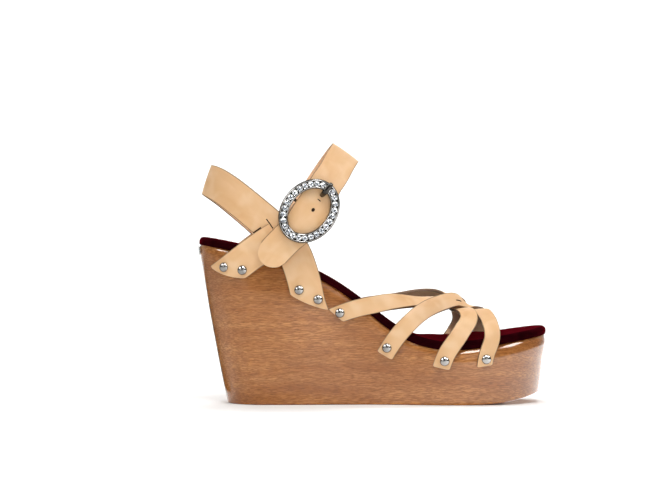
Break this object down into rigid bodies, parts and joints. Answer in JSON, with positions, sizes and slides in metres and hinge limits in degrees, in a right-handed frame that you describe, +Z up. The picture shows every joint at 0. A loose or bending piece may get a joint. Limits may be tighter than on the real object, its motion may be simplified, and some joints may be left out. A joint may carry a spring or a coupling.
{
  "type": "strappy wedge sandal",
  "caption": "Right-foot wedge sandal: lacquered wooden platform, padded velvet insole, studded leather straps crossed over the toes and an ankle strap with a jewelled oval buckle.",
  "frame": {"origin": "on the floor under the sole, at the middle of its length and width", "axes": "+X towards the toe, -Y towards the outer side of the foot, +Z up"},
  "size_m": [0.2345, 0.0936, 0.1749],
  "materials": {
    "lacquered_wood": "clear gloss lacquer over brown stained wood",
    "velvet": "dark red velvet",
    "tan_leather": "smooth natural tan",
    "nickel": "polished nickel plate",
    "crystal": "cut and foiled glass"
  },
  "bodies": {
    "root": {"wedge_sole": "lacquered_wood", "insole": "velvet", "toe_straps": "tan_leather", "ankle_straps": "tan_leather", "buckle_frame": "nickel", "buckle_prong": "nickel", "heel_plate": "nickel", "stone_01": "crystal", "stone_02": "crystal", "stone_03": "crystal", "stone_04": "crystal", "stone_05": "crystal", "stone_06": "crystal", "stone_07": "crystal", "stone_08": "crystal", "stone_09": "crystal", "stone_10": "crystal", "stone_11": "crystal", "stone_12": "crystal", "stone_13": "crystal", "stone_14": "crystal", "stone_15": "crystal", "stone_16": "crystal", "stone_17": "crystal", "stone_18": "crystal", "stone_19": "crystal", "stone_20": "crystal", "stone_21": "crystal", "stone_22": "crystal", "stone_23": "crystal", "stone_24": "crystal", "stone_25": "crystal", "stone_26": "crystal", "stud_heel_back_outer": "nickel", "stud_heel_back_inner": "nickel", "stud_heel_front_outer": "nickel", "stud_heel_front_inner": "nickel", "stud_arch_back_outer": "nickel", "stud_arch_back_inner": "nickel", "stud_arch_front_outer": "nickel", "stud_arch_front_inner": "nickel", "stud_toe_rear_outer": "nickel", "stud_toe_rear_inner": "nickel", "stud_toe_ball_outer": "nickel", "stud_toe_ball_inner": "nickel", "stud_toe_arch_outer": "nickel", "stud_toe_arch_inner": "nickel", "stud_toe_front_outer": "nickel", "stud_toe_front_inner": "nickel"}
  },
  "joints": []
}
